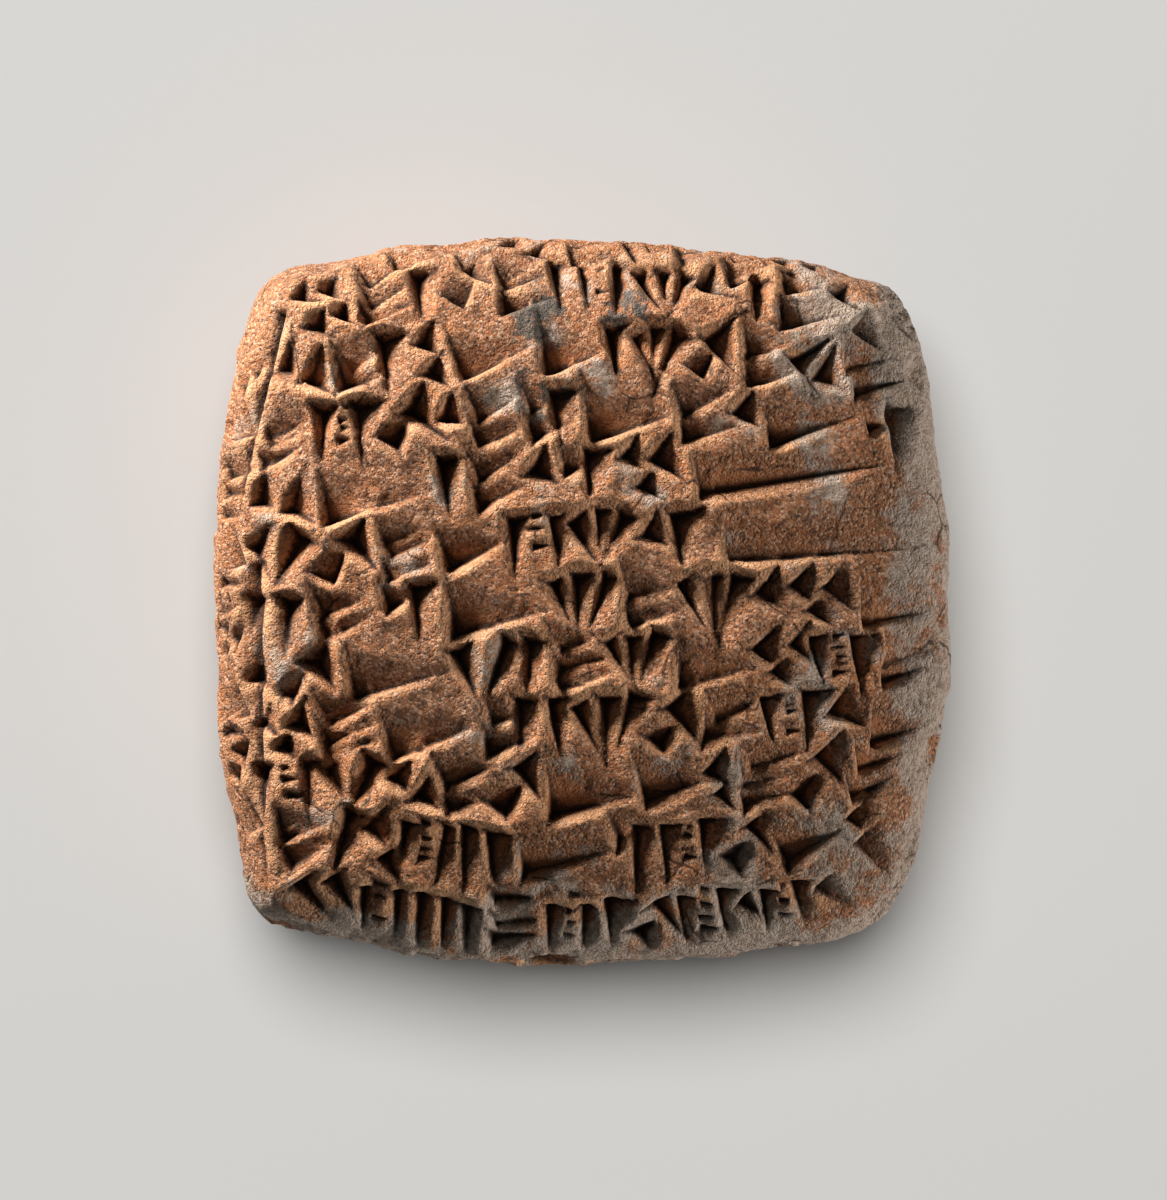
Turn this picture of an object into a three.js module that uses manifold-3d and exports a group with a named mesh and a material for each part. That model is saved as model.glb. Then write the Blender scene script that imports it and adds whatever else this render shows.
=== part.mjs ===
// A square, cushion-shaped clay tablet, impressed all over with rows of wedge-shaped strokes.
// It lies on its back with the written face up. Millimetres, +Z up, +Y towards the head of the
// writing, origin in the middle of the flat spot that it rests on.
import * as THREE from "three";
import { mergeVertices } from "three/addons/utils/BufferGeometryUtils.js";
import Module from "manifold-3d";

// The cushion of clay.
const WIDTH = 56.2; // left to right, across the middle
const HEIGHT = 55.2; // foot to head, across the middle
const FACE_RISE = 9.6; // from the widest line up to the crown of the written face
const BACK_DROP = 10.4; // from the widest line down to the crown of the back
const REST_CUT = 0.4; // how much of the back's crown is pressed flat where the tablet lies
const SIDE_BOW = 0.124; // how far the left and right sides draw in at their ends, as a share
const END_BOW = 0.112; // the same for the head and the foot
const CORNER_POWER = 25; // higher is a tighter corner in plan
const FACE_POWER = 4.4; // higher is a tighter rim between the face and the sides
const BACK_POWER = 3.2; // the same for the back, which is rounder
const FACE_DRAW = 0.09; // how much narrower the face is than the widest line, as a share
const FACE_DOME = 1.3; // how far the face falls from its middle to its rim
const FOOT_SHIFT = 0.74; // how far the foot of the tablet leans to the left
const TILT = 0.27; // how far its right side hangs lower in plan than its middle
const WAVER = 0.12; // unevenness left by the hand that shaped it
const FACE_COLUMNS = 12; // facets across the face
const SIDE_COLUMNS = 6; // facets up each side

// The writing.
const ROW_PITCH = 4.62; // from one row of strokes to the next
const FIRST_ROW = 4.93; // how many rows the first one stands above the middle
const CLIMB = 3.0; // how far the left end of the middle rows droops
const CLIMB_END = 6.0; // how far right of the middle the rows run level
const HEAD_RUN = 0.4; // how far behind its head edge a stroke is deepest, as a share of its depth
const OVERCUT = 1.6; // a cutter stands this many times its depth, so that it clears the crown
const FINE_DEPTH = 0.75; // strokes shallower than this are too fine to be cut here
const JITTER = { angle: 6, place: 0.22, size: 0.14, lean: 0.2 }; // degrees, mm and two shares
const STRETCH = 0.1; // how much longer than its share of the row a stroke may be
const SEED = 4711;

const HALF = new THREE.Vector3(WIDTH / 2, HEIGHT / 2, FACE_RISE);
const REST_Z = BACK_DROP - REST_CUT; // height of the widest line above the surface it lies on

// The point of the cushion in the direction (u, v, w) from its middle.
function cushionPoint(u, v, w) {
  const reach = Math.max(Math.abs(u), Math.abs(v));
  const power = w >= 0 ? FACE_POWER : BACK_POWER;
  const swell = (reach ** power + Math.abs(w) ** power) ** (1 / power);
  const corner = (Math.abs(u) ** CORNER_POWER + Math.abs(v) ** CORNER_POWER) ** (1 / CORNER_POWER);
  const inset = reach > 0 ? reach / corner / swell : 0;
  const across = u * inset;
  const along = v * inset;
  const up = w / swell;
  const angle = Math.atan2(along, across);
  const waver = WAVER * inset * reach * (Math.sin(3 * angle + 0.6) + 0.6 * Math.sin(7 * angle + 2));
  const grow = (1 + waver / HALF.x) * (1 - FACE_DRAW * Math.max(0, up) ** 2);
  const dome = FACE_DOME * Math.min(1, across ** 2 + along ** 2) * Math.max(0, up);
  const foot = FOOT_SHIFT * Math.max(0, -along) ** 2;
  return new THREE.Vector3(
    HALF.x * across * grow * (1 - SIDE_BOW * along ** 2) - foot,
    HALF.y * along * grow * (1 - END_BOW * across ** 2) - TILT * across,
    Math.max(0, REST_Z + up * (up > 0 ? FACE_RISE : BACK_DROP) - dome),
  );
}

// The faces that are written on, as on a box: which way is out, to the right and up for the
// writing, half their sizes, and how tight the rim round them is.
const face = (out, right, up, half, power) => ({ out, right, up, half, power });
const FACES = {
  front: face([0, 0, 1], [1, 0, 0], [0, 1, 0],
    [HALF.x * (1 - FACE_DRAW), HALF.y * (1 - FACE_DRAW)], FACE_POWER),
  back: face([0, 0, -1], [1, 0, 0], [0, -1, 0], [HALF.x, HALF.y], BACK_POWER),
  foot: face([0, -1, 0], [1, 0, 0], [0, 0, 1], [HALF.x, HALF.z], CORNER_POWER),
  head: face([0, 1, 0], [1, 0, 0], [0, 0, -1], [HALF.x, HALF.z], CORNER_POWER),
  left: face([-1, 0, 0], [0, 1, 0], [0, 0, -1], [HALF.y, HALF.z], CORNER_POWER),
  right: face([1, 0, 0], [0, 1, 0], [0, 0, 1], [HALF.y, HALF.z], CORNER_POWER),
};
const FACE_END = 0.96; // no stroke is placed nearer than this to the edge of its face, as a share

// The point of the tablet at (s, t) millimetres from the middle of a face.
function facePoint(name, s, t) {
  const { out, right, up, half, power } = FACES[name];
  const shares = [s / half[0], t / half[1]];
  const [a, b] = shares.map((share) => THREE.MathUtils.clamp(share, -FACE_END, FACE_END));
  const depth = (1 - Math.max(Math.abs(a), Math.abs(b)) ** power) ** (1 / power);
  return cushionPoint(...[0, 1, 2].map((i) => out[i] * depth + a * right[i] + b * up[i]));
}

// A fixed run of numbers between -1 and 1, so that the hand's unevenness is the same each time.
let state = SEED;
function uneven() {
  state = (state * 16807) % 2147483647;
  return (state / 2147483647) * 2 - 1;
}

// A stroke goes from its head, at (s, t) on a face, towards an angle: 0 is right and -90 is down.
// Lean moves its deepest line to one side, as a share of half its width.
const stroke = (s, t, angle, length, width, depth, lean) =>
  ({ s, t, angle, length, width, depth, lean });
const repeat = (count, make) => Array.from({ length: count }, (_, i) => make(i));

// The groups of strokes. Each gives its width and its strokes, from its left end on the middle of
// its row. They are patterns of wedges and spell nothing.
const GROUPS = {
  posts: (count) => ({
    wide: 1.95 * count + 0.3,
    strokes: repeat(count, (i) => stroke(1.1 + 1.95 * i, 2.3 - 0.25 * i, -95, 5.1, 3.1, 1.7, -0.4)),
  }),
  bars: (count) => ({
    wide: 3.9,
    strokes: repeat(count, (i) =>
      stroke(0, 2.0 - (3.9 * (i + 0.5)) / count, 8, 4.4, 1.9 + 3.2 / count, 0.9 + 1.2 / count, -0.5)),
  }),
  long: (size) => ({
    wide: size,
    strokes: [stroke(0.2, -0.3, 3, size, 4.3, 1.7, -0.62)],
  }),
  slants: (count) => ({
    wide: 1.05 * count + 0.9,
    strokes: repeat(count, (i) =>
      stroke(0.5 + 1.05 * i, 1.9 - 2.0 * (i % 2), -50, 3.7, 2.8, 1.5, -0.35)),
  }),
  hooks: (count) => ({
    wide: 2.0 * count + 0.2,
    strokes: repeat(count, (i) => stroke(0.4 + 2.0 * i, 1.3 - 1.1 * (i % 2), -42, 3.5, 3.4, 1.7, -0.3)),
  }),
  fan: (count) => ({
    wide: 4.6,
    strokes: repeat(count, (i) => {
      const side = (2 * i) / (count - 1) - 1;
      return stroke(2.3 + 1.9 * side, 2.3 - 0.3 * Math.abs(side), -92 - 25 * side, 5.4, 2.7, 1.6, -0.3);
    }),
  }),
  cross: (count) => ({
    wide: 4.1,
    strokes: [
      ...repeat(count, (i) => stroke(0.1, 1.2 - 1.9 * i, 8, 4.6, 3.2, 1.4, -0.6)),
      stroke(2.8, 2.3, -96, 5.1, 3.0, 1.7, -0.4),
    ],
  }),
  comb: (count) => ({
    wide: 4.3,
    strokes: [
      stroke(0.7, 2.2, -92, 4.9, 2.5, 1.5, -0.4),
      ...repeat(count, (i) => stroke(1.3, 1.7 - (3.2 * i) / count, 5, 2.5, 0.9, 0.6, 0)),
      stroke(3.6, 2.2, -96, 4.9, 2.7, 1.6, -0.4),
    ],
  }),
  roof: () => ({
    wide: 4.1,
    strokes: [
      stroke(0.3, -1.6, 50, 4.0, 2.7, 1.5, -0.3),
      stroke(2.2, 2.2, -55, 4.9, 3.1, 1.7, -0.4),
    ],
  }),
  margin: (size) => ({
    wide: 2.2,
    strokes: [stroke(1, 0, -92, size, 1.9, 1.3, 0.4)],
  }),
  gap: (size) => ({ wide: size, strokes: [] }),
};

// The rows of the written face, from the head down: where each starts and ends, and its groups.
const FRONT_ROWS = [
  [-23.8, 23, "slants4 bars3 posts1 roof1 bars3 posts1 comb3 fan3 hooks1 cross1 bars2 slants2"],
  [-24.2, 24, "hooks2 bars2 posts1 slants2 long7 long5 posts1 fan3 roof1 bars2 hooks2 bars2"],
  [-24.6, 25, "bars3 comb4 roof1 hooks1 bars2 cross2 long7 bars2 hooks1 long7 cross1"],
  [-24.8, 26, "hooks2 long8 posts1 bars2 hooks1 cross1 slants3 gap1 long17"],
  [-25, 26.5, "fan2 roof1 bars3 long5 comb3 fan3 hooks1 posts1 gap1 long16"],
  [-25, 26, "posts2 bars2 cross1 long7 fan3 bars2 fan4 hooks1 slants3 long6"],
  [-25, 25, "hooks1 roof1 long8 fan2 posts1 bars3 fan3 long6 slants3 comb5 bars2"],
  [-24.8, 25, "slants3 bars3 long7 cross2 posts1 fan3 roof1 bars2 comb5 hooks1 long4"],
  [-24.5, 24, "comb3 fan2 hooks2 bars2 roof1 long7 long5 slants2 bars3 roof1 bars2"],
  [-24, 23.5, "bars2 posts1 slants2 comb4 posts2 long7 cross1 comb4 roof1 long5 slants2"],
  [-23, 22, "hooks1 slants2 comb3 posts3 bars3 gap1 comb4 posts1 roof1 comb4 hooks1 comb3 slants2"],
];

// The rows elsewhere: face, start, end, how high the row lies on its face, its scale in size and
// in depth, and its groups.
const OTHER_ROWS = [
  ["front", -24.2, -22, 22, 1, 1, "margin22"],
  ["front", -25.2, -23, 1.5, 1, 1, "margin24"],
  ["foot", -22, 22, 1.5, 0.8, 0.7,
    "slants2 comb2 gap1 posts2 bars2 long5 posts1 gap2 hooks1 slants2"],
  ["head", -21, 22, -5.2, 0.8, 0.5,
    "gap3 long5 bars2 hooks2 gap1 bars3 posts1 cross1 gap2 bars2 slants3"],
  ["left", -21, 21, -5.4, 0.7, 0.5,
    "bars3 gap1 hooks2 posts1 bars2 gap2 slants3 comb2 long5 posts3 gap2 bars2 hooks2"],
  ["left", -19, 20, -1, 0.75, 0.5,
    "gap3 posts2 bars2 gap4 hooks2 long5 gap3 bars3 slants2 gap5 posts2"],
  ["right", -20, 20, -2, 0.8, 0.5,
    "hooks2 gap5 long6 gap4 posts1 gap6 hooks1 gap4 bars2"],
  ["back", -22, 22, 19.5, 1, 0.6,
    "posts1 gap2 bars2 roof1 gap2 hooks2 fan2 gap3 bars3 gap1 posts2"],
  ["back", -23, 22, 14.6, 1, 0.6,
    "gap1 cross1 hooks2 gap3 long7 posts1 gap1 slants3 bars2 gap2 fan3"],
];

const ROWS = [
  ...FRONT_ROWS.map(([start, end, groups], i) => ({
    face: "front", start, end, groups, scale: 1, deep: 1,
    level: ROW_PITCH * (FIRST_ROW - i),
    droop: CLIMB * Math.sin((Math.PI * (i + 0.5)) / FRONT_ROWS.length),
  })),
  ...OTHER_ROWS.map(([name, start, end, level, scale, deep, groups]) =>
    ({ face: name, start, end, level, scale, deep, groups, droop: 0 })),
];

// Every stroke of a row, with the scribe's unevenness.
function strokesOf(row) {
  const groups = row.groups.split(" ").map((word) => {
    const [, name, count] = word.match(/^([a-z]+)(\d+)$/);
    return GROUPS[name](Number(count));
  });
  const spread = (row.end - row.start) / groups.reduce((sum, group) => sum + group.wide, 0);
  const strokes = [];
  let start = row.start;
  for (const group of groups) {
    for (const one of group.strokes) {
      const size = row.scale * (1 + JITTER.size * uneven());
      const s = start + one.s * spread + JITTER.place * uneven();
      const away = Math.max(0, CLIMB_END - s) / (CLIMB_END + HALF.x); // 1 at the left side
      const climb = (1.5 * row.droop * away ** 0.5) / (CLIMB_END + HALF.x);
      const t = row.level + one.t * row.scale + JITTER.place * uneven() - row.droop * away ** 1.5;
      const angle = THREE.MathUtils.degToRad(one.angle + JITTER.angle * uneven());
      strokes.push({
        face: row.face,
        s,
        t,
        angle: angle + climb * Math.cos(angle),
        length: one.length * size * Math.min(1, spread + STRETCH),
        width: one.width * size,
        depth: one.depth * row.deep * (1 + JITTER.size * uneven()),
        lean: one.lean + JITTER.lean * uneven(),
      });
    }
    start += group.wide * spread;
  }
  return strokes;
}

// The closed cushion, before it is written on.
function cushionGeometry() {
  const columns = [FACE_COLUMNS, FACE_COLUMNS, SIDE_COLUMNS];
  const geometry = new THREE.BoxGeometry(2, 2, 2, ...columns);
  const points = geometry.getAttribute("position");
  for (let i = 0; i < points.count; i++) {
    const place = cushionPoint(points.getX(i), points.getY(i), points.getZ(i));
    points.setXYZ(i, place.x, place.y, place.z);
  }
  geometry.deleteAttribute("normal");
  geometry.deleteAttribute("uv");
  return mergeVertices(geometry, 1e-4);
}

// The corner of the stylus where it makes a stroke. It stands on its deepest point, just behind
// the stroke's head, and opens upwards past the surface.
function stylusGeometry({ face: name, s, t, angle, length, width, depth, lean }) {
  const middle = [s + (length / 2) * Math.cos(angle), t + (length / 2) * Math.sin(angle)];
  const step = 0.5;
  const place = facePoint(name, ...middle);
  const near = (ds, dt) => facePoint(name, middle[0] + ds, middle[1] + dt);
  const right = near(step, 0).sub(near(-step, 0));
  const up = near(0, step).sub(near(0, -step));
  const out = right.clone().cross(up).normalize();
  const tail = right.normalize().applyAxisAngle(out, angle);
  const across = out.clone().cross(tail);
  const at = (x, y, z) => place.clone()
    .addScaledVector(tail, x - length / 2).addScaledVector(across, y).addScaledVector(out, z);
  const deepest = at(HEAD_RUN * depth, (lean * width) / 2, -depth);
  const rim = [at(0, -width / 2, 0), at(length, 0, 0), at(0, width / 2, 0)];
  const top = rim.map((point) => deepest.clone().lerp(point, OVERCUT));
  const geometry = new THREE.BufferGeometry().setFromPoints([deepest, ...top]);
  geometry.setIndex([0, 2, 1, 0, 3, 2, 0, 1, 3, 1, 2, 3]);
  return geometry;
}

const wasm = await Module();
wasm.setup();

function solidOf(geometry) {
  return new wasm.Manifold(new wasm.Mesh({
    numProp: 3,
    vertProperties: new Float32Array(geometry.getAttribute("position").array),
    triVerts: new Uint32Array(geometry.index.array),
  }));
}

function geometryOf(solid) {
  const { vertProperties, triVerts } = solid.getMesh();
  const geometry = new THREE.BufferGeometry();
  geometry.setAttribute("position", new THREE.BufferAttribute(vertProperties, 3));
  geometry.setIndex(new THREE.BufferAttribute(triVerts, 1));
  geometry.computeVertexNormals();
  return geometry;
}

// The tablet in one piece: crumbs that strokes cut loose between them fall away.
function tabletGeometry() {
  const strokes = ROWS.flatMap(strokesOf).filter((one) => one.depth >= FINE_DEPTH);
  const writing = wasm.Manifold.union(strokes.map((one) => solidOf(stylusGeometry(one))));
  const pieces = solidOf(cushionGeometry()).subtract(writing).decompose();
  return geometryOf(pieces.sort((a, b) => b.volume() - a.volume())[0]);
}

const clay = new THREE.MeshStandardMaterial({
  color: 0xb87a4c, roughness: 0.92, metalness: 0, flatShading: true,
});
const tablet = new THREE.Mesh(tabletGeometry(), clay);
tablet.name = "tablet";

const object = new THREE.Group();
object.add(tablet);
export default object;
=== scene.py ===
"""A square clay tablet with rows of wedge-shaped strokes, lying on its back on a pale table."""

import math
from collections import namedtuple

import bmesh
import bpy
import numpy as np
from mathutils import Matrix, Vector


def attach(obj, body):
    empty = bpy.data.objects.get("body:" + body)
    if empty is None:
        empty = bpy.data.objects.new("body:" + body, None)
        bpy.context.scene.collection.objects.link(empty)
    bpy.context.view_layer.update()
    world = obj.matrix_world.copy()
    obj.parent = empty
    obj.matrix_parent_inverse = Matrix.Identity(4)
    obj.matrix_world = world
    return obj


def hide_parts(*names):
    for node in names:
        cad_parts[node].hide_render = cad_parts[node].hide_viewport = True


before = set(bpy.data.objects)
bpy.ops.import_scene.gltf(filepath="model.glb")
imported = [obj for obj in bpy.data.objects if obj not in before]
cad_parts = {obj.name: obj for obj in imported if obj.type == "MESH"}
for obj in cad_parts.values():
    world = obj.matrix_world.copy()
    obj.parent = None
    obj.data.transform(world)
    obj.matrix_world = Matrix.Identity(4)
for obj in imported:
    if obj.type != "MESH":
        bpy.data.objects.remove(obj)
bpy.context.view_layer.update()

MM = 0.001  # the tablet is shaped in millimetres and brought to metres at the end

# The cushion of clay, with the same values as the solid.
WIDTH = 56.2  # left to right, across the middle
HEIGHT = 55.2  # foot to head, across the middle
FACE_RISE = 9.6  # from the widest line up to the crown of the written face
BACK_DROP = 10.4  # from the widest line down to the crown of the back
REST_CUT = 0.4  # how much of the back's crown is pressed flat where the tablet lies
SIDE_BOW = 0.124  # how far the left and right sides draw in at their ends, as a share
END_BOW = 0.112  # the same for the head and the foot
CORNER_POWER = 25  # higher is a tighter corner in plan
FACE_POWER = 4.4  # higher is a tighter rim between the face and the sides
BACK_POWER = 3.2  # the same for the back, which is rounder
FACE_DRAW = 0.09  # how much narrower the face is than the widest line, as a share
FACE_DOME = 1.3  # how far the face falls from its middle to its rim
FOOT_SHIFT = 0.74  # how far the foot of the tablet leans to the left
TILT = 0.27  # how far its right side hangs lower in plan than its middle
WAVER = 0.12  # unevenness left by the hand that shaped it
HALF = (WIDTH / 2, HEIGHT / 2, FACE_RISE)  # its half sizes, from the middle of the widest line
FRONT_HALF = tuple(half * (1 - FACE_DRAW) for half in HALF[:2])
REST_Z = BACK_DROP - REST_CUT  # height of the widest line above the table
FACE_END = 0.96  # no stroke is placed nearer than this to the edge of its face, as a share

# The writing, with the same values as the solid.
ROW_PITCH = 4.62  # from one row of strokes to the next
FIRST_ROW = 4.93  # how many rows the first one stands above the middle
CLIMB = 3.0  # how far the left end of the middle rows droops
CLIMB_END = 6.0  # how far right of the middle the rows run level
CLIMB_POWER = 1.5  # higher is a more sudden droop
HEAD_RUN = 0.4  # how far behind its head edge a stroke is deepest, as a share of its depth
JITTER_ANGLE, JITTER_PLACE, JITTER_SIZE, JITTER_LEAN = 6, 0.22, 0.14, 0.2
STRETCH = 0.1  # how much longer than its share of the row a stroke may be
SEED = 4711

# How soft clay gives way round the stylus.
CREASE = 0.05  # how round the bottom of a stroke is
LIP = 0.55  # how round its rim is, as a share of its depth
SWELL = 0.26  # how far its rim rises, as a share of its depth
SHOVE = 0.13  # how far it pushes its neighbours aside, as a share of its depth
GIVE = 0.7  # how far from the rim that is felt
REACH = 2.5  # how far round a stroke any clay moves
GATHER = 0.16  # how near the stylus's edges the clay's grid is drawn onto them
GATHER_END = 0.2  # how far past an edge's ends that fades out

# How the block of clay is cut up, and how it ages.
FACE_CUTS, SIDE_CUTS = 99, 29  # loops cut across the block before it is divided twice more
DIVISIONS = 2
TRIANGLES = 196000  # how many are left in the end
WEAR = 14  # how many times the ridges are evened out with their neighbours
PROUD = 0.12  # how far a ridge stands out before it wears fully
SOFTEN_SHARE, SOFTEN_TIMES = 0.5, 2  # the last smoothing of all the clay

# Unevenness of the surface, as height, wavelength and seed.
LUMPS = ((0.14, 9, 1), (0.05, 3.4, 2))  # from the hand, under the writing
CRUMBS = ((0.022, 1.4, 3), (0.018, 0.6, 4))  # from wear, over the writing
CRUMBS_IN_STROKES = 0.4  # how much of the crumbs is left in a deep stroke
DEEP_STROKE = 0.8
SCAR_ROUGHNESS, SCAR_GRAIN, SCAR_SEED = 0.16, 1.1, 5  # a share of the chip's depth, and mm

# Where the tablet is chipped: a place near it, the chip's radius and its depth.
Chip = namedtuple("Chip", "x y z radius depth")
CHIPS = (
    Chip(27.0, -8.1, 12, 2.2, 1.0), Chip(26.3, -12.6, 14, 2.4, 0.6), Chip(24.8, -19.2, 14, 2.8, 0.9),
    Chip(23.2, -24.2, 13, 4.0, 0.8), Chip(24.6, 22.2, 14, 4.5, 0.9), Chip(25.4, 17.2, 15, 1.8, 0.7),
    Chip(-27.2, 13.2, 12, 2.6, 0.7), Chip(-27.4, -4.6, 11, 1.7, 0.5), Chip(-25.8, -18.4, 12, 2.4, 0.6),
    Chip(-21.6, -24.8, 12, 3.2, 0.5), Chip(-3.0, -27.2, 12, 2.2, 0.5), Chip(9.0, 27.0, 13, 2.6, 0.5),
    Chip(-10.0, 26.6, 13, 2.2, 0.45), Chip(14.0, -26.4, 11, 2.4, 0.5), Chip(27.4, 8.0, 9, 2.0, 0.4),
    Chip(-20.0, 23.5, 3, 3.5, 0.6), Chip(22.0, -20.0, 2, 4.0, 0.7), Chip(27.0, 3.0, 5, 2.2, 0.5),
)

# Where pale salts and blue-grey stains lie: how strongly, round which place and how far from it.
Spot = namedtuple("Spot", "strength place radius")
SIDE_SALTS, FOOT_SALTS = 0.17, 0.17  # all over the right side and the foot
SALTS = (Spot(0.2, (20, 18, 16), 12), Spot(0.1, (14, -17, 17), 15), Spot(0.1, (-2, 15, 19), 8))
STAINS = (Spot(1, (-4, 21, 18), 5.5), Spot(0.9, (2.9, 21.5, 18), 4.5), Spot(0.8, (-3.5, 14.8, 19), 6))

# How the relief counts for the clay's finish: the depth of a fully pressed point, and how strongly
# it counts that a point lies lower than its neighbourhood, which is wider after more evenings.
FULL_PRESS = 2.2
CREASE_EVENINGS, CREASE_GAIN, CREASE_FLOOR = 3, 9, 0.1
EDGE_EVENINGS, EDGE_GAIN = 8, 2.5
HOLLOW_EVENINGS, HOLLOW_GAIN = 80, 0.6
LEVEL = 0.5  # what is stored where a point is level with its neighbourhood


# ---------------------------------------------------------------- the cushion

def cushion(points):
    """The points of the cushion in the directions of these points from its middle."""
    u, v, w = points.T
    reach = np.maximum(abs(u), abs(v))
    power = np.where(w >= 0, FACE_POWER, BACK_POWER)
    swell = (reach ** power + abs(w) ** power) ** (1 / power)
    corner = (abs(u) ** CORNER_POWER + abs(v) ** CORNER_POWER) ** (1 / CORNER_POWER)
    inset = np.where(reach > 0, reach / np.maximum(corner, 1e-9) / swell, 0)
    across, along, up = u * inset, v * inset, w / swell
    angle = np.arctan2(along, across)
    waver = WAVER * inset * reach * (np.sin(3 * angle + 0.6) + 0.6 * np.sin(7 * angle + 2))
    grow = (1 + waver / HALF[0]) * (1 - FACE_DRAW * np.maximum(0, up) ** 2)
    dome = FACE_DOME * np.minimum(1, across ** 2 + along ** 2) * np.maximum(0, up)
    return np.column_stack((
        HALF[0] * across * grow * (1 - SIDE_BOW * along ** 2) - FOOT_SHIFT * np.maximum(0, -along) ** 2,
        HALF[1] * along * grow * (1 - END_BOW * across ** 2) - TILT * across,
        np.maximum(0, REST_Z + up * np.where(up > 0, FACE_RISE, BACK_DROP) - dome)))


# The faces that are written on, as on a box: which way is out, to the right and up for the
# writing, half their sizes, and how tight the rim round them is.
Face = namedtuple("Face", "middle right up half power")
FACES = {
    "front": Face((0, 0, 1), (1, 0, 0), (0, 1, 0), FRONT_HALF, FACE_POWER),
    "back": Face((0, 0, -1), (1, 0, 0), (0, -1, 0), (HALF[0], HALF[1]), BACK_POWER),
    "foot": Face((0, -1, 0), (1, 0, 0), (0, 0, 1), (HALF[0], HALF[2]), CORNER_POWER),
    "head": Face((0, 1, 0), (1, 0, 0), (0, 0, -1), (HALF[0], HALF[2]), CORNER_POWER),
    "left": Face((-1, 0, 0), (0, 1, 0), (0, 0, -1), (HALF[1], HALF[2]), CORNER_POWER),
    "right": Face((1, 0, 0), (0, 1, 0), (0, 0, 1), (HALF[1], HALF[2]), CORNER_POWER),
}


def face_point(face, s, t):
    """The point of the tablet at (s, t) millimetres from the middle of a face."""
    middle, right, up, half, power = FACES[face]
    a, b = (max(-FACE_END, min(FACE_END, d / h)) for d, h in zip((s, t), half))
    depth = (1 - max(abs(a), abs(b)) ** power) ** (1 / power)
    direction = depth * np.array(middle) + a * np.array(right) + b * np.array(up)
    return cushion(direction[None])[0]


# ---------------------------------------------------------------- the writing

# A stroke goes from its head, at (s, t) on a face, towards an angle: 0 is right and -90 is down.
# Lean moves its deepest line to one side, as a share of half its width.
Stroke = namedtuple("Stroke", "s t angle length width depth lean", defaults=(0,))
state = SEED


def uneven():
    """A fixed run of numbers between -1 and 1, the same as the solid's."""
    global state
    state = state * 16807 % 2147483647
    return state / 2147483647 * 2 - 1


# The groups of strokes. Each gives its width and its strokes, from its left end on the middle of
# its row. They are patterns of wedges and spell nothing.

def posts(n):
    """Upright wedges side by side."""
    return 1.95 * n + 0.3, [Stroke(1.1 + 1.95 * i, 2.3 - 0.25 * i, -95, 5.1, 3.1, 1.7, -0.4)
                            for i in range(n)]


def bars(n):
    """Wedges that lie one above another, finer when there are more of them."""
    return 3.9, [Stroke(0, 2.0 - 3.9 * (i + 0.5) / n, 8, 4.4, 1.9 + 3.2 / n, 0.9 + 1.2 / n, -0.5)
                 for i in range(n)]


def long(n):
    """One broad wedge that lies along n millimetres of the row."""
    return n, [Stroke(0.2, -0.3, 3, n, 4.3, 1.7, -0.62)]


def slants(n):
    """Wedges that slant down to the right, high and low by turns."""
    return 1.05 * n + 0.9, [Stroke(0.5 + 1.05 * i, 1.9 - 2.0 * (i % 2), -50, 3.7, 2.8, 1.5, -0.35)
                            for i in range(n)]


def hooks(n):
    """Short broad wedges, made with the corner of the stylus."""
    return 2.0 * n + 0.2, [Stroke(0.4 + 2.0 * i, 1.3 - 1.1 * (i % 2), -42, 3.5, 3.4, 1.7, -0.3)
                           for i in range(n)]


def fan(n):
    """Wedges whose tails meet below."""
    sides = [2 * i / (n - 1) - 1 for i in range(n)]
    return 4.6, [Stroke(2.3 + 1.9 * side, 2.3 - 0.3 * abs(side), -92 - 25 * side, 5.4, 2.7, 1.6, -0.3)
                 for side in sides]


def cross(n):
    """Lying wedges that an upright one cuts."""
    lying = [Stroke(0.1, 1.2 - 1.9 * i, 8, 4.6, 3.2, 1.4, -0.6) for i in range(n)]
    return 4.1, lying + [Stroke(2.8, 2.3, -96, 5.1, 3.0, 1.7, -0.4)]


def comb(n):
    """Fine short strokes between two upright wedges."""
    teeth = [Stroke(1.3, 1.7 - 3.2 * i / n, 5, 2.5, 0.9, 0.6) for i in range(n)]
    return 4.3, [Stroke(0.7, 2.2, -92, 4.9, 2.5, 1.5, -0.4), *teeth,
                 Stroke(3.6, 2.2, -96, 4.9, 2.7, 1.6, -0.4)]


def roof(_):
    """A wedge that rises and one that falls."""
    return 4.1, [Stroke(0.3, -1.6, 50, 4.0, 2.7, 1.5, -0.3), Stroke(2.2, 2.2, -55, 4.9, 3.1, 1.7, -0.4)]


def margin(n):
    """A line ruled down the margin, n millimetres long."""
    return 2.2, [Stroke(1, 0, -92, n, 1.9, 1.3, 0.4)]


def gap(n):
    """Clay left plain along n millimetres of the row."""
    return n, []


GROUPS = {make.__name__: make
          for make in (posts, bars, long, slants, hooks, fan, cross, comb, roof, margin, gap)}

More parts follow.
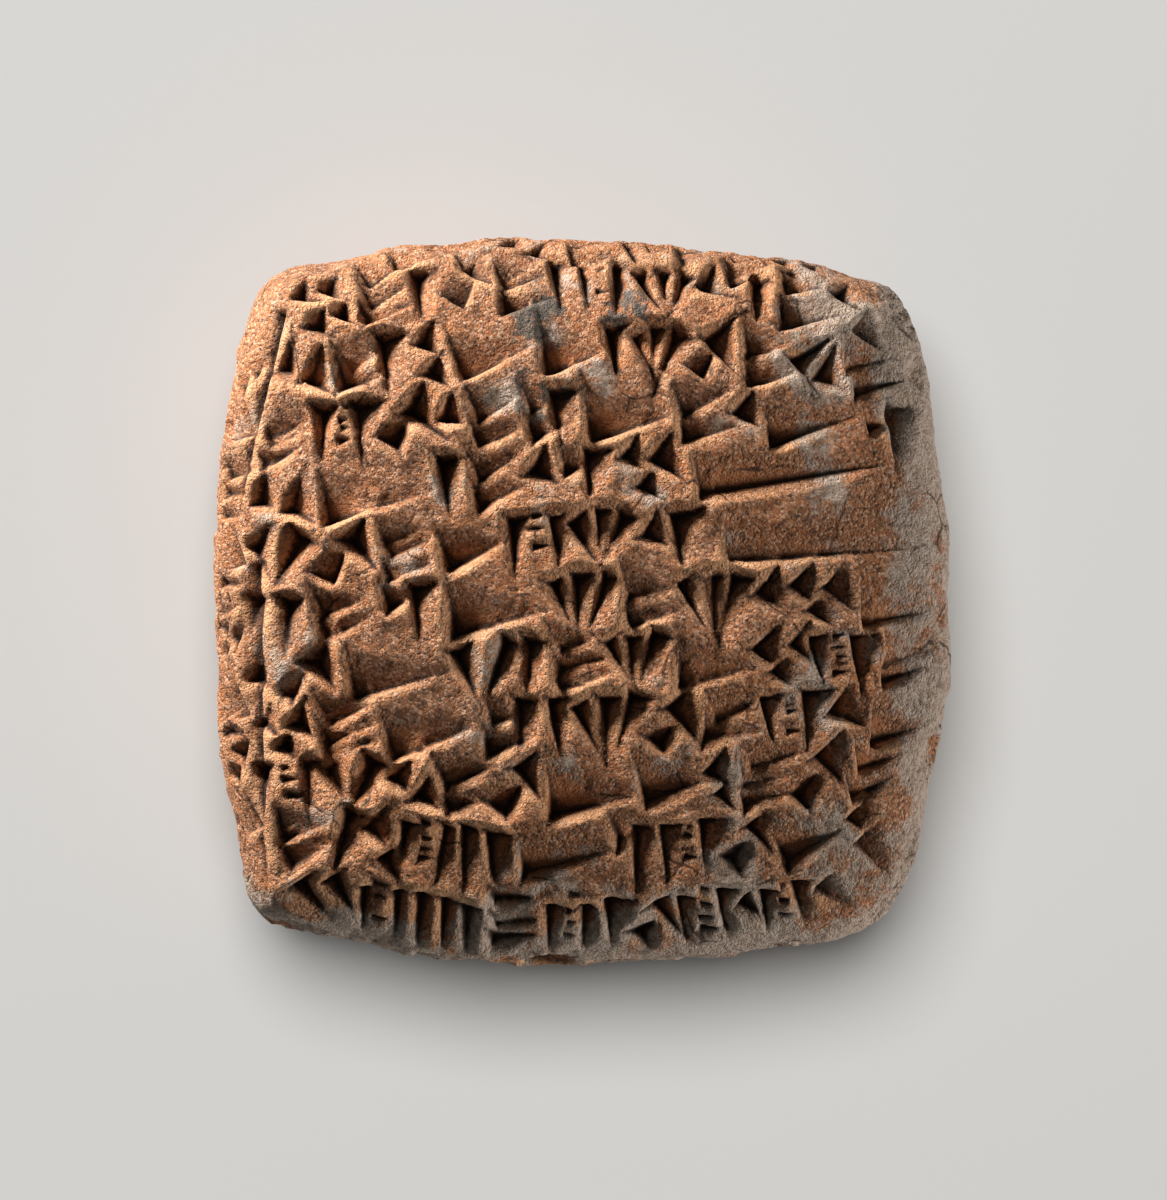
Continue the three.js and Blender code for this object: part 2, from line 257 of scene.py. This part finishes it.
# The rows of the written face, from the head down: where each starts and ends, and its groups.
FRONT_ROWS = (
    (-23.8, 23, "slants4 bars3 posts1 roof1 bars3 posts1 comb3 fan3 hooks1 cross1 bars2 slants2"),
    (-24.2, 24, "hooks2 bars2 posts1 slants2 long7 long5 posts1 fan3 roof1 bars2 hooks2 bars2"),
    (-24.6, 25, "bars3 comb4 roof1 hooks1 bars2 cross2 long7 bars2 hooks1 long7 cross1"),
    (-24.8, 26, "hooks2 long8 posts1 bars2 hooks1 cross1 slants3 gap1 long17"),
    (-25, 26.5, "fan2 roof1 bars3 long5 comb3 fan3 hooks1 posts1 gap1 long16"),
    (-25, 26, "posts2 bars2 cross1 long7 fan3 bars2 fan4 hooks1 slants3 long6"),
    (-25, 25, "hooks1 roof1 long8 fan2 posts1 bars3 fan3 long6 slants3 comb5 bars2"),
    (-24.8, 25, "slants3 bars3 long7 cross2 posts1 fan3 roof1 bars2 comb5 hooks1 long4"),
    (-24.5, 24, "comb3 fan2 hooks2 bars2 roof1 long7 long5 slants2 bars3 roof1 bars2"),
    (-24, 23.5, "bars2 posts1 slants2 comb4 posts2 long7 cross1 comb4 roof1 long5 slants2"),
    (-23, 22, "hooks1 slants2 comb3 posts3 bars3 gap1 comb4 posts1 roof1 comb4 hooks1 comb3 slants2"),
)

# The rows elsewhere: face, start, end, how high the row lies on its face, its scale in size and
# in depth, and its groups.
OTHER_ROWS = (
    ("front", -24.2, -22, 22, 1, 1, "margin22"),
    ("front", -25.2, -23, 1.5, 1, 1, "margin24"),
    ("foot", -22, 22, 1.5, 0.8, 0.7,
     "slants2 comb2 gap1 posts2 bars2 long5 posts1 gap2 hooks1 slants2"),
    ("head", -21, 22, -5.2, 0.8, 0.5,
     "gap3 long5 bars2 hooks2 gap1 bars3 posts1 cross1 gap2 bars2 slants3"),
    ("left", -21, 21, -5.4, 0.7, 0.5,
     "bars3 gap1 hooks2 posts1 bars2 gap2 slants3 comb2 long5 posts3 gap2 bars2 hooks2"),
    ("left", -19, 20, -1, 0.75, 0.5,
     "gap3 posts2 bars2 gap4 hooks2 long5 gap3 bars3 slants2 gap5 posts2"),
    ("right", -20, 20, -2, 0.8, 0.5,
     "hooks2 gap5 long6 gap4 posts1 gap6 hooks1 gap4 bars2"),
    ("back", -22, 22, 19.5, 1, 0.6,
     "posts1 gap2 bars2 roof1 gap2 hooks2 fan2 gap3 bars3 gap1 posts2"),
    ("back", -23, 22, 14.6, 1, 0.6,
     "gap1 cross1 hooks2 gap3 long7 posts1 gap1 slants3 bars2 gap2 fan3"),
)

Row = namedtuple("Row", "face start end level scale deep groups droop")
ROWS = [Row("front", start, end, ROW_PITCH * (FIRST_ROW - i), 1, 1, groups,
            CLIMB * math.sin(math.pi * (i + 0.5) / len(FRONT_ROWS)))
        for i, (start, end, groups) in enumerate(FRONT_ROWS)]
ROWS += [Row(*row, droop=0) for row in OTHER_ROWS]


def strokes_of(row):
    """Every stroke of a row, with the scribe's unevenness."""
    groups = []
    for word in row.groups.split():
        name = word.rstrip("0123456789")
        groups.append(GROUPS[name](int(word[len(name):])))
    spread = (row.end - row.start) / sum(wide for wide, _ in groups)
    start = row.start
    for wide, strokes in groups:
        for one in strokes:
            size = row.scale * (1 + JITTER_SIZE * uneven())
            s = start + one.s * spread + JITTER_PLACE * uneven()
            away = max(0, CLIMB_END - s) / (CLIMB_END + HALF[0])  # 1 at the left side
            climb = CLIMB_POWER * row.droop * away ** (CLIMB_POWER - 1) / (CLIMB_END + HALF[0])
            t = row.level + one.t * row.scale + JITTER_PLACE * uneven() - row.droop * away ** CLIMB_POWER
            angle = math.radians(one.angle + JITTER_ANGLE * uneven())
            angle += climb * math.cos(angle)
            length = one.length * size * min(1, spread + STRETCH)
            depth = one.depth * row.deep * (1 + JITTER_SIZE * uneven())
            lean = one.lean + JITTER_LEAN * uneven()
            yield Stroke(s, t, angle, length, one.width * size, depth, lean)
        start += wide * spread


def stylus_frame(face, one):
    """Where a stroke's head is, and its directions: towards its tail, across it and out."""
    half = one.length / 2
    s, t = one.s + half * math.cos(one.angle), one.t + half * math.sin(one.angle)
    step = 0.5
    place = face_point(face, s, t)
    right = face_point(face, s + step, t) - face_point(face, s - step, t)
    up = face_point(face, s, t + step) - face_point(face, s, t - step)
    out = np.cross(right, up)
    out /= np.linalg.norm(out)
    right /= np.linalg.norm(right)
    tail = right * math.cos(one.angle) + np.cross(out, right) * math.sin(one.angle)
    return place - half * tail, np.array((tail, np.cross(out, tail), out))


def stylus(one, x, y):
    """How high the stylus stands over (x, y) in a stroke's own frame, and which way it slopes.

    Its corner has three sides: one behind the head and one on each flank.
    """
    deepest = HEAD_RUN * one.depth
    half = one.width / 2
    taper = half / one.length
    flank = half * (1 - deepest / one.length)
    slopes = np.array(((-one.depth / deepest, 0),
                       (one.depth * taper / (flank - one.lean * half),
                        one.depth / (flank - one.lean * half)),
                       (one.depth * taper / (flank + one.lean * half),
                        -one.depth / (flank + one.lean * half))))
    at_head = np.array((0, -half, -half)) * np.abs(slopes[:, 1])
    planes = np.stack((x, y), 1) @ slopes.T + at_head
    top = planes.max(1)
    weight = np.exp((planes - top[:, None]) / CREASE)
    total = weight.sum(1)
    return top + CREASE * np.log(total), (weight / total[:, None]) @ slopes


def gather(flat, one):
    """Draws the clay's grid towards the lines where the stylus has its edges, so they come out clean."""
    half = one.width / 2
    deepest = (HEAD_RUN * one.depth, one.lean * half)
    tail, corners = (one.length, 0), ((0, -half), (0, half))
    lines = [(deepest, tail), (corners[0], tail), (corners[1], tail), corners]
    lines += [(corner, deepest) for corner in corners]
    for start, end in lines:
        run = np.subtract(end, start)
        size = np.hypot(*run)
        run = run / size
        along = (flat - start) @ run
        off = (flat - start) @ (-run[1], run[0])
        pull = np.exp(-(off / GATHER) ** 2) * np.clip((along + GATHER_END) / GATHER_END, 0, 1)
        pull *= np.clip((size + GATHER_END - along) / GATHER_END, 0, 1)
        flat -= (pull * off)[:, None] * (-run[1], run[0])


def lower_of(a, b, blend):
    """The lower of two heights, with a round edge where they cross."""
    share = np.clip(0.5 + (b - a) / (2 * blend), 0, 1)
    return b + (a - b) * share - blend * share * (1 - share)


def press(points, face, one):
    """Presses one stroke into the clay."""
    head, axes = stylus_frame(face, one)
    middle = head + axes[0] * one.length / 2
    near = np.flatnonzero(((points - middle) ** 2).sum(1) < (one.length / 2 + REACH) ** 2)
    local = (points[near] - head) @ axes.T
    height, slope = stylus(one, local[:, 0], local[:, 1])
    steep = np.maximum(np.linalg.norm(slope, axis=1), 1e-6)
    past_head = np.clip((one.length - local[:, 0]) / (one.length - HEAD_RUN * one.depth), 0.02, 1)
    felt = np.exp(-np.maximum(height, 0) / steep / GIVE)
    felt *= np.clip(1 + height / (one.depth * past_head), 0, 1) * np.sqrt(past_head) * one.depth
    local[:, :2] += SHOVE * (felt / steep)[:, None] * slope
    gather(local[:, :2], one)
    height, _ = stylus(one, local[:, 0], local[:, 1])
    local[:, 2] = lower_of(local[:, 2] + SWELL * felt, height, LIP * one.depth)
    points[near] = head + local @ axes


# ---------------------------------------------------------------- wear and unevenness

def ripple(points, wavelength, seed, waves=28):
    """Smooth noise of about unit size, as a sum of waves in scattered directions."""
    rng = np.random.default_rng(seed)
    directions = rng.normal(size=(waves, 3))
    directions /= np.linalg.norm(directions, axis=1, keepdims=True)
    numbers = 2 * math.pi / (wavelength * rng.uniform(0.7, 1.5, waves))
    phases = rng.uniform(0, 2 * math.pi, waves)
    total = np.zeros(len(points))
    for direction, number, phase in zip(directions, numbers, phases):
        total += np.sin(points @ (direction * number) + phase)
    return total / math.sqrt(waves / 2)


def unevenness(points, ripples):
    """The height of several ripples together at each point."""
    return sum(height * ripple(points, wavelength, seed) for height, wavelength, seed in ripples)


def keep_off_table(points):
    """Nothing reaches lower than the flat spot that the tablet lies on."""
    points[:, 2] = np.maximum(points[:, 2], 0)


def evened(values, edges, times):
    """Values at the points, each drawn towards those of its neighbours, a number of times."""
    if values.ndim > 1:
        return np.column_stack([evened(column, edges, times) for column in values.T])
    one, other = edges.T
    share = 1 / (np.bincount(edges.ravel(), minlength=len(values)) + 1)
    for _ in range(times):
        values = (values + np.bincount(one, values[other], len(values))
                  + np.bincount(other, values[one], len(values))) * share
    return values


def wear_ridges(points, depth, edges):
    """Rounds off what stands out between the strokes, the more the prouder it stands."""
    proud = np.clip((evened(depth, edges, WEAR) - depth) / PROUD, 0, 1)
    points += proud[:, None] * (evened(points, edges, WEAR) - points)


def chip(points, outward, one):
    """Breaks a crumb of clay off the surface and leaves a rough scar."""
    away = np.linalg.norm(points - (one.x, one.y, one.z), axis=1)
    centre = points[away.argmin()]
    near = np.flatnonzero(np.linalg.norm(points - centre, axis=1) < one.radius)
    out = outward[near].mean(0)
    out /= np.linalg.norm(out)
    offset = points[near] - centre
    bowl = 1 - (offset ** 2).sum(1) / one.radius ** 2
    scar = SCAR_ROUGHNESS * one.depth * ripple(points[near], SCAR_GRAIN, SCAR_SEED)
    proud = offset @ out + one.depth * bowl + scar
    points[near] -= np.maximum(0, proud * np.minimum(1, 4 * bowl))[:, None] * out


def rising(value, low, high):
    """0 at low and 1 at high, with a smooth rise between them."""
    share = np.clip((value - low) / (high - low), 0, 1)
    return share * share * (3 - 2 * share)


def covered(points, spot):
    """A spot's strength at its place, falling to 0 at its radius."""
    return spot.strength * rising(np.linalg.norm(points - spot.place, axis=1), spot.radius, 0)


def salted(points):
    """Where pale salts lie: on the right side and the foot, and in spots."""
    across, along, _ = points.T
    salts = SIDE_SALTS * rising(across, 19.5, 26) + FOOT_SALTS * rising(along, -20, -26)
    for spot in SALTS:
        salts += covered(points, spot)
    return salts


def stained(points):
    """Where the clay has blue-grey stains."""
    return np.maximum.reduce([covered(points, spot) for spot in STAINS])


# ---------------------------------------------------------------- the tablet

def select_only(thing):
    bpy.ops.object.select_all(action="DESELECT")
    thing.select_set(True)
    bpy.context.view_layer.objects.active = thing


def apply_modifier(thing, kind, **settings):
    select_only(thing)
    modifier = thing.modifiers.new(kind.title(), kind)
    for name, value in settings.items():
        setattr(modifier, name, value)
    bpy.ops.object.modifier_apply(modifier=modifier.name)


def read_rows(items, name, columns, kind):
    """A property of a mesh's vertices or edges, with one row for each of them."""
    values = np.empty(len(items) * columns, kind)
    items.foreach_get(name, values)
    return values.reshape(-1, columns)


def get_points(thing):
    return read_rows(thing.data.vertices, "co", 3, np.float32).astype(np.float64)


def get_normals(thing):
    return read_rows(thing.data.vertex_normals, "vector", 3, np.float32).astype(np.float64)


def get_edges(thing):
    return read_rows(thing.data.edges, "vertices", 2, np.int32)


def set_points(thing, points):
    thing.data.vertices.foreach_set("co", points.astype(np.float32).ravel())
    thing.data.update()


def store(thing, name, values):
    """Keeps a value between 0 and 1 at each point of a piece, for its material."""
    attribute = thing.data.attributes.new(name, "FLOAT", "POINT")
    attribute.data.foreach_set("value", np.clip(values, 0, 1).astype(np.float32))


def cut_block():
    """A block of clay, cut into a fine and even grid on every side."""
    bpy.ops.object.select_all(action="DESELECT")
    bpy.ops.mesh.primitive_cube_add(size=2)
    block = bpy.context.object
    block.name = "clay_tablet"
    bpy.ops.object.mode_set(mode="EDIT")
    for axis, cuts in ((0, FACE_CUTS), (1, FACE_CUTS), (2, SIDE_CUTS)):
        bpy.ops.mesh.select_all(action="DESELECT")
        bpy.ops.mesh.select_mode(type="EDGE")
        shape = bmesh.from_edit_mesh(block.data)
        for edge in shape.edges:
            run = edge.verts[0].co - edge.verts[1].co
            edge.select_set(abs(run[axis]) > 1e-6)
        bmesh.update_edit_mesh(block.data)
        bpy.ops.mesh.subdivide(number_cuts=cuts)
    bpy.ops.object.mode_set(mode="OBJECT")
    apply_modifier(block, "SUBSURF", subdivision_type="SIMPLE", levels=DIVISIONS)
    return block


def unfold(block):
    """Lays the six sides of the block out flat, the front largest, for whoever bakes its colours."""
    # For each side, as its axis and which end of it: left, bottom, width and height on the sheet.
    places = {(2, 1): (0, 0.42, 0.58, 0.58), (2, -1): (0.59, 0.59, 0.4, 0.4),
              (0, 1): (0, 0, 0.49, 0.2), (0, -1): (0.5, 0, 0.49, 0.2),
              (1, 1): (0, 0.21, 0.49, 0.2), (1, -1): (0.5, 0.21, 0.49, 0.2)}
    mesh = block.data
    corners = get_points(block)[[loop.vertex_index for loop in mesh.loops]].reshape(-1, 4, 3)
    middles = corners.mean(1)
    axis = np.abs(middles).argmax(1)
    flat = np.zeros((len(corners), 4, 2))
    for (out, sign), (left, low, wide, high) in places.items():
        chosen = (axis == out) & (np.sign(middles[np.arange(len(middles)), axis]) == sign)
        across, up = [i for i in range(3) if i != out]
        flat[chosen, :, 0] = left + wide * (corners[chosen][:, :, across] + 1) / 2
        flat[chosen, :, 1] = low + high * (corners[chosen][:, :, up] + 1) / 2
    layer = mesh.uv_layers.active
    layer.name = "OFBake"
    layer.data.foreach_set("uv", flat.astype(np.float32).ravel())


def store_looks(tablet, points, depth, edges):
    """Keeps what the clay's material is mixed from. Depth is how far a point was pressed in."""
    def sunk(evenings):
        return depth - evened(depth, edges, evenings)

    store(tablet, "pressed", depth / FULL_PRESS)
    # The next three values also place painted highlights on crests and painted shade in creases and
    # hollows.
    store(tablet, "worn", LEVEL - EDGE_GAIN * sunk(EDGE_EVENINGS))
    store(tablet, "crease", CREASE_GAIN * sunk(CREASE_EVENINGS) - CREASE_FLOOR)
    store(tablet, "hollow", LEVEL + HOLLOW_GAIN * sunk(HOLLOW_EVENINGS))
    store(tablet, "salted", salted(points))
    store(tablet, "stained", stained(points))


def make_tablet():
    tablet = cut_block()
    unfold(tablet)
    set_points(tablet, cushion(get_points(tablet)))
    points, outward, edges = get_points(tablet), get_normals(tablet), get_edges(tablet)
    points += outward * unevenness(points, LUMPS)[:, None]
    keep_off_table(points)
    smooth = points.copy()
    for row in ROWS:
        for one in strokes_of(row):
            press(points, row.face, one)
    wear_ridges(points, ((smooth - points) * outward).sum(1), edges)
    depth = ((smooth - points) * outward).sum(1)
    for one in CHIPS:
        chip(points, outward, one)
    rough = 1 - (1 - CRUMBS_IN_STROKES) * np.clip(depth / DEEP_STROKE, 0, 1)
    points += outward * (rough * unevenness(points, CRUMBS))[:, None]
    keep_off_table(points)
    set_points(tablet, points * MM)
    store_looks(tablet, points, depth, edges)
    apply_modifier(tablet, "SMOOTH", factor=SOFTEN_SHARE, iterations=SOFTEN_TIMES)
    apply_modifier(tablet, "DECIMATE", ratio=TRIANGLES / (2 * len(tablet.data.polygons)))
    select_only(tablet)
    bpy.ops.object.shade_smooth()
    return tablet


# ---------------------------------------------------------------- materials

# The colours of the clay, of the grains in it and of what lies on it, and of its painted shade and
# painted highlights.
WARM_CLAY = (0.47, 0.18, 0.07, 1)
COOL_CLAY = (0.35, 0.145, 0.065, 1)
PRESSED_CLAY = (0.5, 0.19, 0.068, 1)
# Painted highlight for the high ridges.
RIDGE_HIGHLIGHT_CLAY = (0.7, 0.325, 0.145, 1)
# Pale rubbed crests: partly wear, partly a painted highlight.
RUBBED_AND_LIT_CLAY = (0.84, 0.46, 0.24, 1)
SAND = (0.28, 0.165, 0.105, 1)
DARK_GRAINS = (0.07, 0.05, 0.04, 1)
LIGHT_GRAINS = (0.82, 0.52, 0.34, 1)
SALT = (0.56, 0.47, 0.39, 1)
DULL_SALT = (0.36, 0.27, 0.205, 1)
STAIN = (0.085, 0.1, 0.095, 1)
# Painted shade for the hollows and the bottoms of the strokes.
HOLLOW_SHADE = (0.06, 0.032, 0.02, 1)
# Painted shade for the fine creases.
CREASE_SHADE = (0.022, 0.013, 0.01, 1)
CRACK_SOIL = (0.045, 0.022, 0.014, 1)

# Sizes in the clay, in millimetres.
GRAIN = 0.2
SAND_GRAIN = 0.5
GRIT_HEIGHT = 0.22
CRACK_SPACING = 7.5


def add(tree, kind, inputs=(), **settings):
    """Adds a node. An input is linked if it is a socket and set if it is a value."""
    node = tree.nodes.new("ShaderNode" + kind)
    for name, value in settings.items():
        setattr(node, name, value)
    for name, value in dict(inputs).items():
        if isinstance(value, bpy.types.NodeSocket):
            tree.links.new(value, node.inputs[name])
        else:
            node.inputs[name].default_value = value
    return node


def calculate(tree, operation, *values):
    return add(tree, "Math", enumerate(values), operation=operation).outputs[0]


def product(tree, value, factor):
    return calculate(tree, "MULTIPLY", value, factor)


def between(tree, value, low, high):
    """0 below low, 1 above high and a smooth rise between them."""
    return add(tree, "MapRange", {"Value": value, "From Min": low, "From Max": high},
               interpolation_type="SMOOTHSTEP").outputs[0]


def mixed(tree, share, colour, other):
    """A colour with a share, 0 to 1, of another one."""
    return add(tree, "Mix", {0: share, 6: colour, 7: other}, data_type="RGBA").outputs[2]


def noise(tree, where, size, detail, roughness=0.55):
    """Noise about 0.5, with features of this size in millimetres."""
    return add(tree, "TexNoise", {"Vector": where, "Scale": 1 / (size * MM), "Detail": detail,
                                  "Roughness": roughness}).outputs["Fac"]


def new_group(name, inputs, outputs):
    """An empty node group. Its sockets are given as name and kind."""
    group = bpy.data.node_groups.new(name, "ShaderNodeTree")
    for names, direction in ((inputs, "INPUT"), (outputs, "OUTPUT")):
        for socket, kind in names.items():
            group.interface.new_socket(socket, in_out=direction, socket_type="NodeSocket" + kind)
    return group, group.nodes.new("NodeGroupInput").outputs, group.nodes.new("NodeGroupOutput").inputs


def patches_group():
    """Patches with ragged edges, more of them where the bias is higher."""
    group, given, made = new_group("patches", {"Where": "Vector", "Bias": "Float"}, {"Mask": "Float"})
    broad = noise(group, given["Where"], 5, 2, 0.6)
    ragged = noise(group, given["Where"], 0.7, 4, 0.75)
    level = calculate(group, "MULTIPLY_ADD", ragged, 0.35, product(group, broad, 0.65))
    level = calculate(group, "ADD", level, given["Bias"])
    group.links.new(between(group, level, 0.5, 0.6), made["Mask"])
    return group


def hairlines_group():
    """Thin cracks that start and end here and there."""
    group, given, made = new_group("hairlines", {"Where": "Vector", "Scale": "Float"},
                                   {"Mask": "Float"})
    bend_size, bend = 1.6 * MM, 0.9 * MM
    bent = add(group, "TexNoise", {"Vector": given["Where"], "Scale": 1 / bend_size, "Detail": 3})
    shift = add(group, "VectorMath", {0: bent.outputs["Color"], 1: (0.5, 0.5, 0.5)},
                operation="SUBTRACT").outputs[0]
    shift = add(group, "VectorMath", {0: shift, "Scale": bend}, operation="SCALE").outputs[0]
    where = add(group, "VectorMath", {0: given["Where"], 1: shift}, operation="ADD").outputs[0]
    cells = add(group, "TexVoronoi", {"Vector": where, "Scale": given["Scale"]},
                feature="DISTANCE_TO_EDGE").outputs["Distance"]
    line = between(group, cells, 0.018, 0.006)
    kept = between(group, noise(group, given["Where"], 3.2, 2), 0.52, 0.6)
    group.links.new(product(group, line, kept), made["Mask"])
    return group


# What the clay's finish is mixed from: the place, the values kept at the points, how much of a
# stroke's smooth side or of a sandy ridge it is, and coarse and fine grains.
Clay = namedtuple("Clay", "where pressed worn crease hollow salted stained facet ridge coarse grains")


def clay_surface(tree):
    """The values that the finish of the clay follows."""
    where = add(tree, "TexCoord").outputs["Object"]
    kept = {name: add(tree, "Attribute", attribute_name=name).outputs["Fac"]
            for name in ("pressed", "worn", "crease", "hollow", "salted", "stained")}
    facet = between(tree, kept["pressed"], 0.12, 0.5)
    ridge = calculate(tree, "SUBTRACT", 1, product(tree, facet, 0.7))
    coarse = noise(tree, where, SAND_GRAIN, 4, 0.75)
    grains = add(tree, "TexVoronoi", {"Vector": where, "Scale": 1 / (GRAIN * MM)}).outputs
    return Clay(where=where, facet=facet, ridge=ridge, coarse=coarse, grains=grains, **kept)


def clay_body(tree, clay):
    """The body of the clay, warmer and cooler in drifts, with a painted highlight on its high ridges."""
    drift = noise(tree, clay.where, 7, 2)
    colour = mixed(tree, between(tree, drift, 0.35, 0.65), WARM_CLAY, COOL_CLAY)
    colour = mixed(tree, product(tree, clay.facet, 0.5), colour, PRESSED_CLAY)
    # Painted highlight: paler clay where a point stands above its neighbourhood.
    high = between(tree, clay.hollow, 0.5, 0.15)
    return mixed(tree, product(tree, high, 0.7), colour, RIDGE_HIGHLIGHT_CLAY)


def with_sand(tree, clay, colour):
    """Ridges are sandy, with grains of other colours in them, and paler at their rubbed edges, partly
    from wear and partly a painted highlight.
    """
    grain = add(tree, "SeparateColor", {0: clay.grains["Color"]}).outputs[0]
    sand = product(tree, between(tree, clay.coarse, 0.47, 0.6), clay.ridge)
    colour = mixed(tree, product(tree, sand, 0.6), colour, SAND)
    dark = product(tree, between(tree, grain, 0.7, 0.95), clay.ridge)
    colour = mixed(tree, product(tree, dark, 0.7), colour, DARK_GRAINS)
    light = product(tree, between(tree, grain, 0.35, 0.1), clay.ridge)
    colour = mixed(tree, product(tree, light, 0.5), colour, LIGHT_GRAINS)
    # Pale rubbed crests: partly wear, partly a painted highlight.
    worn = between(tree, clay.worn, 0.56, 0.8)
    return mixed(tree, product(tree, worn, 0.6), colour, RUBBED_AND_LIT_CLAY)


def with_salts(tree, clay, colour):
    """Pale salts in patches, and a few blue-grey stains."""
    bias = calculate(tree, "MULTIPLY_ADD", clay.facet, -0.05, clay.salted)
    bias = calculate(tree, "SUBTRACT", bias, 0.06)
    patches = add(tree, "Group", node_tree=patches_group())
    tree.links.new(clay.where, patches.inputs["Where"])
    tree.links.new(bias, patches.inputs["Bias"])
    pale = mixed(tree, between(tree, clay.coarse, 0.42, 0.6), SALT, DULL_SALT)
    colour = mixed(tree, product(tree, patches.outputs["Mask"], 0.85), colour, pale)
    level = calculate(tree, "MULTIPLY_ADD", clay.stained, 0.42, noise(tree, clay.where, 1.6, 4, 0.7))
    stain = product(tree, between(tree, level, 0.76, 0.86), clay.ridge)
    return mixed(tree, product(tree, stain, 0.8), colour, STAIN)


def with_shade_and_cracks(tree, clay, colour):
    """Painted shade in the hollows and at the bottom of the strokes, and dark hairline cracks."""
    # Painted shade: darker in recesses and in broad hollows.
    sheltered = product(tree, between(tree, clay.worn, 0.46, 0.2), 0.5)
    painted_shade = calculate(tree, "ADD", between(tree, clay.hollow, 0.6, 0.95), sheltered)
    painted_shade = product(tree, calculate(tree, "MINIMUM", painted_shade, 1), 0.72)
    colour = mixed(tree, painted_shade, colour, HOLLOW_SHADE)
    # Painted shade along the fine creases at the bottom of the strokes.
    colour = mixed(tree, product(tree, clay.crease, 0.9), colour, CREASE_SHADE)
    cracks = add(tree, "Group", node_tree=hairlines_group())
    tree.links.new(clay.where, cracks.inputs["Where"])
    cracks.inputs["Scale"].default_value = 1 / (CRACK_SPACING * MM)
    return mixed(tree, product(tree, cracks.outputs["Mask"], 0.8), colour, CRACK_SOIL)


def grit_bump(tree, clay):
    """Grit on the ridges, and less of it where the stylus smoothed the clay."""
    grit = product(tree, clay.grains["Distance"], -0.5)
    grit = calculate(tree, "MULTIPLY_ADD", clay.coarse, 2.2, grit)
    grit = product(tree, grit, calculate(tree, "ADD", clay.ridge, 0.45))
    return add(tree, "Bump", {"Height": grit, "Strength": 1, "Distance": GRIT_HEIGHT * MM}).outputs[0]


def clay_material():
    """Baked clay: clean where it was pressed, gritty on the ridges, with salts, dark hairline cracks,
    painted shade in hollows and creases, and painted highlights on the ridges.
    """
    material = bpy.data.materials.new("fired_clay")
    material.use_nodes = True
    tree = material.node_tree
    shader = tree.nodes["Principled BSDF"]
    clay = clay_surface(tree)
    colour = clay_body(tree, clay)
    for finish in (with_sand, with_salts, with_shade_and_cracks):
        colour = finish(tree, clay, colour)
    tree.links.new(colour, shader.inputs["Base Color"])
    tree.links.new(calculate(tree, "MULTIPLY_ADD", clay.ridge, 0.18, 0.74), shader.inputs["Roughness"])
    tree.links.new(grit_bump(tree, clay), shader.inputs["Normal"])
    shader.inputs["Specular IOR Level"].default_value = 0.25
    return material


def table_material():
    material = bpy.data.materials.new("pale_table")
    material.use_nodes = True
    shader = material.node_tree.nodes["Principled BSDF"]
    shader.inputs["Base Color"].default_value = (0.62, 0.61, 0.59, 1)
    shader.inputs["Roughness"].default_value = 0.8
    return material


# ---------------------------------------------------------------- table, lights and camera

TARGET = Vector((0, 0, 10 * MM))  # what the lights and the camera point at


def make_table():
    bpy.ops.object.select_all(action="DESELECT")
    bpy.ops.mesh.primitive_plane_add(size=3)
    table = bpy.context.object
    table.name = "table"
    table.data.materials.append(table_material())
    return table


def add_light(name, receiver, azimuth, elevation, distance, size, power, colour):
    """A round light on one thing only. It points at the tablet from an azimuth, with +Y at 90."""
    turn, rise = math.radians(azimuth), math.radians(elevation)
    away = Vector((math.cos(turn) * math.cos(rise), math.sin(turn) * math.cos(rise), math.sin(rise)))
    data = bpy.data.lights.new(name, "AREA")
    data.shape = "DISK"
    data.size = size
    data.energy = power
    data.color = colour
    light = bpy.data.objects.new(name, data)
    light.location = TARGET + away * distance
    light.rotation_euler = away.to_track_quat("Z", "Y").to_euler()
    bpy.context.scene.collection.objects.link(light)
    lit = bpy.data.collections.new(name + "_on_" + receiver.name)
    lit.objects.link(receiver)
    light.light_linking.receiver_collection = lit


def make_lights(tablet, table):
    """A low key light across the face, a weaker one from the right, and a glow on the table."""
    add_light("key", tablet, azimuth=135, elevation=13.5, distance=0.17, size=0.05, power=0.86,
              colour=(1, 0.95, 0.9))
    add_light("side", tablet, azimuth=-18, elevation=16, distance=0.4, size=0.12, power=1.3,
              colour=(1, 0.97, 0.94))
    add_light("glow", table, azimuth=120, elevation=70, distance=1.2, size=0.9, power=17,
              colour=(1, 1, 1))
    world = bpy.data.worlds.new("room")
    world.use_nodes = True
    background = world.node_tree.nodes["Background"]
    background.inputs["Color"].default_value = (0.86, 0.96, 1, 1)
    background.inputs["Strength"].default_value = 0.07
    bpy.context.scene.world = world


def make_camera():
    """A camera above the face, a little to its left and below it."""
    data = bpy.data.cameras.new("camera")
    data.lens = 100
    camera = bpy.data.objects.new("camera", data)
    left, low, distance = math.radians(4), math.radians(3), 0.2555
    away = Vector((-math.sin(left), -math.sin(low), math.cos(math.hypot(left, low)))).normalized()
    right = Vector((0, 1, 0)).cross(away).normalized()
    camera.location = TARGET + away * distance
    camera.rotation_euler = Matrix((right, away.cross(right), away)).transposed().to_euler()
    bpy.context.scene.collection.objects.link(camera)
    bpy.context.scene.camera = camera


tablet = make_tablet()
tablet.data.materials.append(clay_material())
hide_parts("tablet")
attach(tablet, "root")
table = make_table()
make_lights(tablet, table)
make_camera()
bpy.context.scene.view_settings.view_transform = "Standard"
